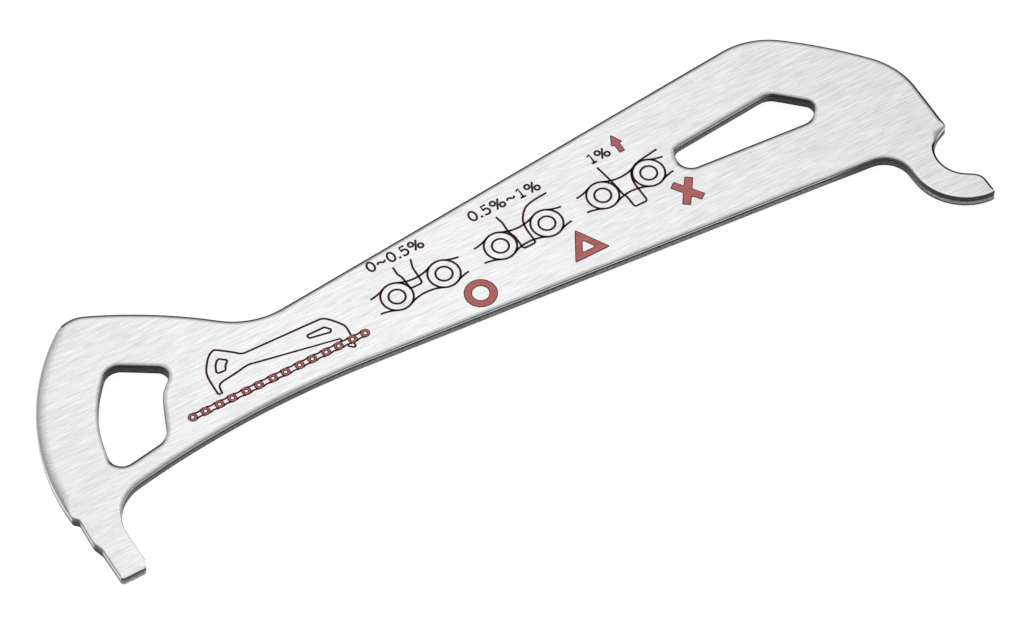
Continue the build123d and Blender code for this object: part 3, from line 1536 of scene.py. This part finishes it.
@dataclass
class GrowingTree:
    """A tree of Geometry Nodes with named inputs.

    Attributes:
        name: Name of the tree.
        lengths: Its inputs that are lengths, with their usual values in metres.
    """

    name: str
    lengths: dict[str, float]

    def start(self) -> tuple[NodeBoard, bpy.types.Node]:
        """Makes the empty tree with its inputs.

        Returns:
            Its board and the node that gives its inputs.
        """
        tree = bpy.data.node_groups.new(self.name, "GeometryNodeTree")
        tree.interface.new_socket("Geometry", in_out="INPUT", socket_type="NodeSocketGeometry")
        tree.interface.new_socket("Geometry", in_out="OUTPUT", socket_type="NodeSocketGeometry")
        for name, value in self.lengths.items():
            socket = tree.interface.new_socket(name, in_out="INPUT", socket_type="NodeSocketFloat")
            socket.default_value = value
        tree.interface.new_socket("Ink", in_out="INPUT", socket_type="NodeSocketMaterial")
        board = NodeBoard(tree)
        return board, board.add("NodeGroupInput")

    @staticmethod
    def end(board: NodeBoard, given: bpy.types.Node, shape: bpy.types.NodeSocket) -> bpy.types.NodeTree:
        """Makes instances real, sets the ink and closes the tree.

        Args:
            board: The tree's board.
            given: The node that gives its inputs.
            shape: What the tree has grown.

        Returns:
            The finished tree.
        """
        real = board.add("GeometryNodeRealizeInstances", inputs={"Geometry": shape}).outputs["Geometry"]
        inputs = {"Geometry": real, "Material": given.outputs["Ink"]}
        inked = board.add("GeometryNodeSetMaterial", inputs=inputs)
        board.add("NodeGroupOutput", inputs={"Geometry": inked.outputs["Geometry"]})
        return board.tree

    def end_as_row(
        self, board: NodeBoard, given: bpy.types.Node, item: bpy.types.NodeSocket
    ) -> bpy.types.NodeTree:
        """Lays one copy of an item at each given point and closes the tree.

        Args:
            board: The tree's board.
            given: The node that gives its inputs.
            item: The item.

        Returns:
            The finished tree.
        """
        places = board.add("GeometryNodeMeshToPoints", inputs={"Mesh": given.outputs["Geometry"]})
        inputs = {"Points": places.outputs["Points"], "Instance": item}
        row = board.add("GeometryNodeInstanceOnPoints", inputs=inputs)
        return self.end(board, given, row.outputs["Instances"])

    @staticmethod
    def ribbon(
        board: NodeBoard, given: bpy.types.Node, path: bpy.types.NodeSocket
    ) -> bpy.types.NodeSocket:
        """Lays a flat film of ink along a path.

        Args:
            board: The tree's board.
            given: The node that gives the line's width and the film's thickness.
            path: The path.

        Returns:
            The film.
        """
        level = board.add("GeometryNodeSetCurveNormal", {"mode": "Z_UP"}, {"Curve": path}).outputs["Curve"]
        sizes = {"Width": given.outputs["Line Width"], "Height": given.outputs["Film Thickness"]}
        section = board.add("GeometryNodeCurvePrimitiveQuadrilateral", inputs=sizes).outputs["Curve"]
        inputs = {"Curve": level, "Profile Curve": section, "Fill Caps": True}
        return board.add("GeometryNodeCurveToMesh", inputs=inputs).outputs["Mesh"]


class LineTree(GrowingTree):
    """Lays a flat line of ink along every curve."""

    def __init__(self) -> None:
        """Names the tree and its inputs."""
        super().__init__("printed_line", dict(LINE_SIZES))

    def make(self) -> bpy.types.NodeTree:
        """Builds the tree."""
        board, given = self.start()
        return self.end(board, given, self.ribbon(board, given, given.outputs["Geometry"]))


class RingRowTree(GrowingTree):
    """Lays a row of ring-shaped films, one at each point that it is given.

    Attributes:
        chords: Chords of a ring.
    """

    chords: int = 40

    def __init__(self) -> None:
        """Names the tree and its inputs."""
        super().__init__("printed_rings", {"Ring Radius": 1.0 * MM, **LINE_SIZES})

    def make(self) -> bpy.types.NodeTree:
        """Builds the tree.

        Returns:
            The tree.
        """
        board, given = self.start()
        sizes = {"Resolution": self.chords, "Radius": given.outputs["Ring Radius"]}
        ring = board.add("GeometryNodeCurvePrimitiveCircle", inputs=sizes).outputs["Curve"]
        return self.end_as_row(board, given, self.ribbon(board, given, ring))


class WaistTree(GrowingTree):
    """Lays the two waisted sides of a chain link at each point that it is given.

    Attributes:
        points: Points along a side.
    """

    points: int = 14

    def __init__(self) -> None:
        """Names the tree and its inputs."""
        waist = {"Waist Radius": 5.3 * MM, "Waist Height": 1.25 * MM, "Half Angle": math.radians(25.0)}
        super().__init__("printed_waists", {**waist, **LINE_SIZES})

    def make(self) -> bpy.types.NodeTree:
        """Builds the tree.

        Returns:
            The tree.
        """
        board, given = self.start()
        half = given.outputs["Half Angle"]
        radius = given.outputs["Waist Radius"]
        start = board.maths("SUBTRACT", -math.pi / 2, half)
        sweep = board.maths("MULTIPLY", half, 2.0)
        sizes = {"Resolution": self.points, "Radius": radius, "Start Angle": start, "Sweep Angle": sweep}
        side = board.add("GeometryNodeCurveArc", {"mode": "RADIUS"}, sizes).outputs["Curve"]
        lift = board.maths("ADD", radius, given.outputs["Waist Height"])
        offset = board.add("ShaderNodeCombineXYZ", inputs={"Y": lift}).outputs["Vector"]
        inputs = {"Geometry": side, "Translation": offset}
        upper = board.add("GeometryNodeTransform", inputs=inputs).outputs["Geometry"]
        inputs = {"Geometry": upper, "Rotation": (0.0, 0.0, math.pi)}
        lower = board.add("GeometryNodeTransform", inputs=inputs).outputs["Geometry"]
        both = board.add("GeometryNodeJoinGeometry")
        for one in (upper, lower):
            board.tree.links.new(one, both.inputs["Geometry"])
        return self.end_as_row(board, given, self.ribbon(board, given, both.outputs["Geometry"]))


@dataclass
class ChainDrawing:
    """A stretch of chain, drawn as rings joined by waisted links.

    Attributes:
        name: Start of the pieces' names.
        rollers: Centres of the rings, in millimetres.
        links: Centres of the links.
        half_pitch: Half the distance between two rings.
        ring_radius: Radius that the links' sides touch.
        waist: Half the height of a link at its middle.
    """

    name: str
    rollers: Loop
    links: Loop
    half_pitch: float
    ring_radius: float
    waist: float

    def waist_radius(self) -> float:
        """Radius of the arc that touches both rings and passes the waist."""
        gap = self.half_pitch**2 + self.waist**2 - self.ring_radius**2
        return gap / (2 * (self.ring_radius - self.waist))

    def half_angle(self) -> float:
        """Half the angle that the arc spans between the two rings."""
        radius = self.waist_radius()
        return math.atan2(self.half_pitch, radius + self.waist)

    def places(self, points: Loop, height: float) -> bpy.types.Object:
        """An object with one loose point for each place.

        Args:
            points: The places in millimetres.
            height: Their height in metres.

        Returns:
            The object.
        """
        mesh = bpy.data.meshes.new("places")
        mesh.from_pydata([(x * MM, y * MM, height) for x, y in points], [], [])
        return put_in_scene("places", mesh)

    def rings(
        self, press: Press, part: str, radius: float, width: float, slot: Slot, layer: int = 0
    ) -> None:
        """Prints a ring round each roller's centre.

        Args:
            press: The press.
            part: End of the piece's name.
            radius: Middle radius of the ring in millimetres.
            width: Width of the ring in millimetres.
            slot: The ink.
            layer: 0 on the steel, 1 on a film below.
        """
        guide = self.places(self.rollers, press.middle(layer))
        sizes = {"Ring Radius": radius * MM, "Line Width": width * MM}
        press.lay(guide, press.ring_tree, sizes, f"{self.name}_{part}", slot)

    def sides(self, press: Press, width: float) -> None:
        """Prints the links' waisted sides.

        Args:
            press: The press.
            width: Width of their lines in millimetres.
        """
        guide = self.places(self.links, press.middle())
        sizes = {
            "Waist Radius": self.waist_radius() * MM,
            "Waist Height": self.waist * MM,
            "Half Angle": self.half_angle(),
            "Line Width": width * MM,
        }
        press.lay(guide, press.waist_tree, sizes, f"{self.name}_links", Slot.MAROON)


@dataclass
class GaugePicture:
    """The small picture of the gauge in use, drawn over a stretch of chain. Lengths are in millimetres.

    Attributes:
        roller_count: How many rollers the chain shows.
        first_roller: Centre of the leftmost one.
        pitch: Usual distance between two.
        pitch_difference: How much nearer every second one stands to the one before.
        ring_touch: Radius at which the links' sides touch the rollers.
        ring_radius: Middle radius of a roller's ring.
        ring_width: Width of the ring with its rim.
        waist: Half the height of a link at its middle.
        link_line: Width of the links' lines.
        tooth_and_heel: Places on the outline from the tooth over the heel to the neck.
        crown: Places round the wide end.
        underside: Places from the tooth's inner side along the arch.
        underside_end: Places where the lower edge runs into the hook.
        finger: Places round the hook's finger.
        hanging_window: Corners of the window in the heel.
        long_window: Corners of the window at the wide end.
        window_rounding: Radius of the windows' corners.
        shift: Moves the whole picture.
    """

    roller_count: int = 14
    first_roller: Point = (-104.65, 14.37)
    pitch: float = 1.9
    pitch_difference: float = 0.095
    ring_touch: float = 0.60
    ring_radius: float = 0.42
    ring_width: float = 0.44
    waist: float = 0.36
    link_line: float = 0.25
    tooth_and_heel: tuple[Point, ...] = (
        (-100.26, 15.70), (-100.22, 17.04), (-100.13, 18.46), (-99.87, 19.43), (-99.26, 20.41),
        (-98.39, 21.39), (-97.59, 21.78), (-97.09, 21.57), (-95.57, 20.30), (-95.02, 19.76),
        (-94.48, 19.48),
    )
    crown: tuple[Point, ...] = (
        (-83.83, 19.09), (-83.28, 18.85), (-82.63, 18.17), (-81.87, 17.04), (-81.63, 16.39),
        (-81.72, 15.02),
    )
    underside: tuple[Point, ...] = (
        (-99.72, 15.68), (-99.63, 16.40), (-99.41, 16.87), (-98.93, 17.11), (-98.17, 17.22),
        (-96.65, 17.43), (-95.57, 17.63), (-94.70, 17.67), (-93.83, 17.48),
    )
    underside_end: tuple[Point, ...] = ((-83.17, 15.24), (-83.07, 14.80))
    finger: tuple[Point, ...] = (
        (-82.89, 13.83), (-82.41, 13.35), (-82.15, 13.22), (-81.98, 13.46), (-81.98, 13.78),
    )
    hanging_window: tuple[Point, ...] = (
        (-97.59, 20.34), (-97.99, 20.20), (-98.48, 19.59), (-98.83, 18.80), (-98.74, 18.50),
        (-97.71, 18.41), (-97.32, 19.11), (-96.72, 19.60),
    )
    long_window: tuple[Point, ...] = (
        (-86.45, 17.80), (-86.45, 17.28), (-83.72, 16.70), (-83.36, 17.02), (-83.98, 17.76),
    )
    window_rounding: float = 0.22
    shift: Point = (0.13, 0.03)

    def print(self, press: Press) -> None:
        """Prints the chain and the gauge on it.

        Args:
            press: The press.
        """
        heel = flowing(list(self.tooth_and_heel)) + flowing(list(self.crown))
        belly = [self.tooth_and_heel[0], *flowing(list(self.underside)), *self.underside_end]
        windows = [
            (rounded(list(window), self.window_rounding, True), True)
            for window in (self.hanging_window, self.long_window)
        ]
        outline = [(heel, False), (belly, False), (flowing(list(self.finger)), False)]
        paths = [(moved(path, self.shift), closed) for path, closed in (*outline, *windows)]
        press.lines("picture_gauge", paths)
        start_x, height = moved([self.first_roller], self.shift)[0]
        rollers = [
            (start_x + i * self.pitch - (i % 2) * self.pitch_difference, height)
            for i in range(self.roller_count)
        ]
        links = [((a[0] + b[0]) / 2, height) for a, b in zip(rollers, rollers[1:])]
        chain = ChainDrawing(
            "picture_chain", rollers, links, self.pitch / 2, self.ring_touch, self.waist
        )
        chain.sides(press, self.link_line)
        chain.rings(press, "ring_rims", self.ring_radius, self.ring_width, Slot.MAROON)
        rim = press.rim / MM
        chain.rings(press, "rings", self.ring_radius, self.ring_width - 2 * rim, Slot.RED, 1)


@dataclass
class WearDiagram:
    """One of the three drawings of the tooth in a chain, with its reading above. Lengths are in millimetres.

    Attributes:
        name: Start of the pieces' names.
        reading: The figures above the drawing.
        reading_box: Lower left and upper right corners of the figures.
        left_roller: Centre of the left rings.
        tooth: Paths of the tooth's outline.
        pitch: Distance between the two rollers.
        plate_radius: Radius of the links' rings.
        roller_radius: Radius of the rollers' rings.
        waist: Half the height of a link at its middle.
        stubs: How far the next links reach out on the left and on the right.
        line: Width of the drawing's lines.
    """

    name: str
    reading: str
    reading_box: tuple[Point, Point]
    left_roller: Point
    tooth: Sequence[Loop]
    pitch: float = 6.82
    plate_radius: float = 2.10
    roller_radius: float = 1.08
    waist: float = 1.27
    stubs: tuple[float, float] = (3.12, 2.88)
    line: float = 0.29

    def print(self, press: Press) -> None:
        """Prints the drawing.

        Args:
            press: The press.
        """
        x, y = self.left_roller
        rollers = [(x, y), (x + self.pitch, y)]
        middle = (x + self.pitch / 2, y)
        chain = ChainDrawing(self.name, rollers, [middle], self.pitch / 2, self.plate_radius, self.waist)
        chain.rings(press, "plate_rings", self.plate_radius, self.line, Slot.MAROON)
        chain.rings(press, "roller_rings", self.roller_radius, self.line, Slot.MAROON)
        chain.sides(press, self.line)
        ends = zip(rollers, (-1, 1), self.stubs)
        stubs = [(self._stub(chain, *end, side), False) for end in ends for side in (-1, 1)]
        press.lines(f"{self.name}_tooth", [*stubs, *((path, False) for path in self.tooth)])
        press.words(f"{self.name}_reading", self.reading, *self.reading_box)

    def _stub(self, chain: ChainDrawing, roller: Point, way: int, length: float, side: int) -> Loop:
        """The start of one side of the next link, outside the pair.

        Args:
            chain: The drawing of the pair.
            roller: Centre of the roller that it starts from.
            way: -1 to the left, 1 to the right.
            length: How far it reaches from the roller's centre.
            side: -1 for the lower side, 1 for the upper.

        Returns:
            Its points.
        """
        radius = chain.waist_radius()
        centre = (roller[0] + way * chain.half_pitch, roller[1] + side * (radius + self.waist))
        lean = math.degrees(chain.half_angle())
        short = math.degrees(math.asin((chain.half_pitch - length) / radius))
        down = -90.0 * side
        turn = -way * side
        return arc(centre, radius, down + turn * lean, down + turn * short, STUB_CHORDS)


@dataclass
class Verdicts:
    """The red marks beside the drawings: ring, triangle, cross and arrow. Lengths are in millimetres.

    Attributes:
        ring_centre: Centre of the ring.
        ring_outer: Its outer radius.
        ring_inner: Its inner radius.
        triangle_centre: Centre of the triangle.
        triangle_outer: Distance from there to an outer corner.
        triangle_inner: Distance to an inner corner.
        cross_centre: Where the cross's bars meet.
        cross_lean: Angle between a bar and the X axis, in degrees.
        cross_reach: Half the length of a bar.
        cross_half_width: Half its width.
        arrow_tip: Tip of the arrow.
        arrow_head: Length of its head.
        arrow_length: Its whole length.
        arrow_half_head: Half the width of its head.
        arrow_half_shaft: Half the width of its shaft.
        softness: Radius of the marks' corners. It is larger than the width of the rim.
    """

    ring_centre: Point = (-64.47, 12.20)
    ring_outer: float = 2.15
    ring_inner: float = 1.08
    triangle_centre: Point = (-49.36, 11.53)
    triangle_outer: float = 2.97
    triangle_inner: float = 1.03
    cross_centre: Point = (-33.93, 12.33)
    cross_lean: float = 54.6
    cross_reach: float = 2.19
    cross_half_width: float = 0.57
    arrow_tip: Point = (-37.76, 24.94)
    arrow_head: float = 1.74
    arrow_length: float = 3.10
    arrow_half_head: float = 0.88
    arrow_half_shaft: float = 0.42
    softness: float = 0.15

    def print(self, press: Press) -> None:
        """Prints the four marks.

        Args:
            press: The press.
        """
        hole = circle(self.ring_centre, self.ring_inner, clockwise=True)
        press.mark("mark_ring", circle(self.ring_centre, self.ring_outer), [hole])
        outer = arc(self.triangle_centre, self.triangle_outer, 90.0, 450.0, 3)[:-1]
        inner = arc(self.triangle_centre, self.triangle_inner, 90.0, -270.0, 3)[:-1]
        hole = rounded(inner, self.softness, True)
        press.mark("mark_triangle", rounded(outer, self.softness, True), [hole])
        press.mark("mark_cross", rounded(self._cross(), self.softness, True))
        press.mark("mark_arrow", rounded(self._arrow(), self.softness, True))

    def _cross(self) -> Loop:
        """Two bars that cross, as one outline.

        Returns:
            Its corners.
        """
        half = self.cross_half_width
        corners: Loop = []
        leans = (self.cross_lean, 180 - self.cross_lean, 180 + self.cross_lean, 360 - self.cross_lean)
        for lean, following in zip(leans, (*leans[1:], leans[0] + 360)):
            bar = Vector((math.cos(math.radians(lean)), math.sin(math.radians(lean))))
            across = Vector((-bar.y, bar.x))
            corners.append(tuple(bar * self.cross_reach - across * half))
            corners.append(tuple(bar * self.cross_reach + across * half))
            gap = math.radians((following - lean) / 2)
            notch = math.radians((following + lean) / 2)
            reach = half / math.sin(gap)
            corners.append((reach * math.cos(notch), reach * math.sin(notch)))
        return moved(corners, self.cross_centre)

    def _arrow(self) -> Loop:
        """An arrow that points away from the chain.

        Returns:
            Its corners.
        """
        head = self.arrow_half_head
        shaft = self.arrow_half_shaft
        corners = [
            (0.0, 0.0),
            (-head, -self.arrow_head),
            (-shaft, -self.arrow_head),
            (-shaft, -self.arrow_length),
            (shaft, -self.arrow_length),
            (shaft, -self.arrow_head),
            (head, -self.arrow_head),
        ]
        return moved(corners, self.arrow_tip)


@dataclass
class Studio:
    """The floor, the light and the camera.

    Attributes:
        aim: The point of the face that the camera looks at, in millimetres.
        azimuth: The camera's turn about the vertical, in degrees.
        elevation: Its height above the floor's plane, in degrees.
        distance: Its distance from the aim, in metres.
        lens: Its focal length in millimetres.
        nearest: Nearest distance that it shows, in metres.
        farthest: Farthest distance that it shows.
        floor_size: Side of the floor, in metres.
        floor_gap: How far the floor lies below the object.
        floor_colour: Grey level at which the floor takes light and shadow.
        floor_lift: Light added to it where the camera or a reflection sees it.
        softbox_way: The way to the middle of the room's bright side.
        horizon_end: Facing, as a share, up to which the room is at its darker level.
        horizon_level: That level.
        softbox_start: Facing from which the bright side is almost at its full level.
        softbox_share: Share of the full level that it has there.
        softbox_level: The full level.
        lamp_place: Place of the lamp, in metres.
        lamp_size: Its width.
        lamp_power: Its power in watts.
    """

    aim: tuple[float, float, float] = (-62.451, 7.988, 1.6)
    azimuth: float = -31.0
    elevation: float = 54.9
    distance: float = 0.80928
    lens: float = 228.08
    nearest: float = 0.01
    farthest: float = 20.0
    floor_size: float = 6.0
    floor_gap: float = 0.01 * MM
    floor_colour: float = 0.40
    floor_lift: float = 0.85
    softbox_way: tuple[float, float, float] = (0.25, 0.50, 0.83)
    horizon_end: float = 0.60
    horizon_level: float = 0.38
    softbox_start: float = 0.86
    softbox_share: float = 0.8
    softbox_level: float = 0.855
    lamp_place: tuple[float, float, float] = (0.040, 0.21, 0.36)
    lamp_size: float = 0.16
    lamp_power: float = 0.024

    def build(self) -> None:
        """Sets the studio up round the object."""
        self.camera()
        self.floor()
        self.world()
        self.lamps()
        bpy.context.scene.view_settings.view_transform = "Standard"

    def camera(self) -> None:
        """Places the camera at the photograph's angle."""
        turn = math.radians(self.azimuth)
        rise = math.radians(self.elevation)
        back = Vector((math.sin(turn) * math.cos(rise), -math.cos(turn) * math.cos(rise), math.sin(rise)))
        right = Vector((math.cos(turn), math.sin(turn), 0.0))
        axes = Matrix((right, back.cross(right), back)).transposed()
        lens = bpy.data.cameras.new("camera")
        lens.lens = self.lens
        lens.clip_start = self.nearest
        lens.clip_end = self.farthest
        camera = put_in_scene("camera", lens)
        camera.matrix_world = Matrix.Translation(Vector(self.aim) * MM + back * self.distance) @ axes.to_4x4()
        bpy.context.scene.camera = camera

    def floor(self) -> None:
        """Lays a white floor that still shows the object's shadow."""
        material = bpy.data.materials.new("floor")
        material.use_nodes = True
        board = NodeBoard(material.node_tree)
        material.node_tree.nodes.remove(material.node_tree.nodes["Principled BSDF"])
        ways = board.add("ShaderNodeLightPath").outputs
        seen = board.maths("MAXIMUM", ways["Is Camera Ray"], ways["Is Glossy Ray"])
        seen = board.maths("MAXIMUM", seen, ways["Is Transmission Ray"])
        matt = board.add("ShaderNodeBsdfDiffuse", inputs={"Color": grey(self.floor_colour)})
        glow = board.add(
            "ShaderNodeEmission",
            inputs={"Color": grey(1.0), "Strength": board.maths("MULTIPLY", seen, self.floor_lift)},
        )
        both = board.add("ShaderNodeAddShader", inputs={0: matt.outputs[0], 1: glow.outputs[0]})
        output = material.node_tree.nodes["Material Output"]
        board.tree.links.new(both.outputs[0], output.inputs["Surface"])
        half = self.floor_size / 2
        mesh = bpy.data.meshes.new("floor")
        corners = [(-half, -half), (half, -half), (half, half), (-half, half)]
        mesh.from_pydata([(x, y, -self.floor_gap) for x, y in corners], [], [(0, 1, 2, 3)])
        mesh.materials.append(material)
        put_in_scene("floor", mesh)

    def world(self) -> None:
        """Lights the room from a soft bright side above and behind the object."""
        world = bpy.data.worlds.new("studio")
        world.use_nodes = True
        bpy.context.scene.world = world
        board = NodeBoard(world.node_tree)
        way = board.add("ShaderNodeTexCoord").outputs["Generated"]
        softbox = Vector(self.softbox_way).normalized()
        facing = board.add(
            "ShaderNodeVectorMath", {"operation": "DOT_PRODUCT"}, {0: way, 1: tuple(softbox)}
        ).outputs["Value"]
        level = board.ramp(
            board.maths("MULTIPLY_ADD", facing, 0.5, 0.5),
            [
                (0.0, grey(self.horizon_level)),
                (self.horizon_end, grey(self.horizon_level)),
                (self.softbox_start, grey(self.softbox_share * self.softbox_level)),
                (1.0, grey(self.softbox_level)),
            ],
            "EASE",
        )
        background = world.node_tree.nodes["Background"]
        board.tree.links.new(level, background.inputs["Color"])

    def lamps(self) -> None:
        """Adds a broad lamp above and behind the object, past the hook's end."""
        lamp = bpy.data.lights.new("key", "AREA")
        lamp.shape = "DISK"
        lamp.size = self.lamp_size
        lamp.energy = self.lamp_power
        place = Vector(self.lamp_place)
        turned = (place - Vector(self.aim) * MM).to_track_quat("Z", "Y").to_matrix().to_4x4()
        put_in_scene("key", lamp).matrix_world = Matrix.Translation(place) @ turned


def wear_diagrams() -> list[WearDiagram]:
    """The three drawings, from a fresh chain to a worn one.

    Returns:
        The drawings.
    """
    fresh_tooth = [
        (-71.90, 21.25), (-71.95, 20.05), (-71.68, 19.40), (-71.60, 17.33), (-69.88, 17.33),
        (-69.78, 20.00), (-69.35, 21.25),
    ]
    worn_tooth = [
        (-56.83, 21.30), (-56.58, 20.10), (-56.66, 18.60), (-56.33, 17.40), (-56.33, 15.33),
        (-54.50, 15.33), (-54.50, 17.50),
    ]
    worn_root = [
        (-54.50, 17.50), (-54.30, 18.75), (-53.90, 19.55), (-53.00, 20.55), (-51.75, 21.05),
        (-49.40, 21.28),
    ]
    spent_tooth = [
        (-41.86, 21.34), (-41.50, 19.20), (-41.28, 17.20), (-41.22, 16.20), (-40.98, 15.50),
        (-40.94, 13.67), (-39.06, 13.67), (-39.10, 16.60), (-39.00, 17.40),
    ]
    spent_root = [
        (-39.00, 17.40), (-38.75, 18.10), (-38.35, 18.70), (-37.80, 19.10), (-36.90, 19.46),
        (-35.00, 19.76), (-33.88, 19.94),
    ]
    soft = 0.35
    return [
        WearDiagram(
            "fresh",
            "0~0.5%",
            ((-74.83, 21.92), (-66.70, 23.62)),
            (-73.70, 17.14),
            [rounded(fresh_tooth, soft)],
        ),
        WearDiagram(
            "worn",
            "0.5%~1%",
            ((-59.87, 22.08), (-49.50, 23.80)),
            (-58.62, 17.18),
            [rounded(worn_tooth, soft) + flowing(worn_root)],
        ),
        WearDiagram(
            "spent",
            "1%",
            ((-42.30, 22.06), (-39.14, 23.76)),
            (-43.50, 17.26),
            [rounded(spent_tooth, soft) + flowing(spent_root)],
        ),
    ]


def main() -> None:
    """Builds the plate, its print and the studio."""
    logging.basicConfig(level=logging.INFO, format="%(message)s")
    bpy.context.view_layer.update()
    plate = StampedPlate()
    hand_over(plate.build(), Slot.STEEL, PLATE_NODE)
    press = Press(plate.top)
    GaugePicture().print(press)
    for diagram in wear_diagrams():
        diagram.print(press)
    Verdicts().print(press)
    Studio().build()


if __name__ == "__main__":
    main()
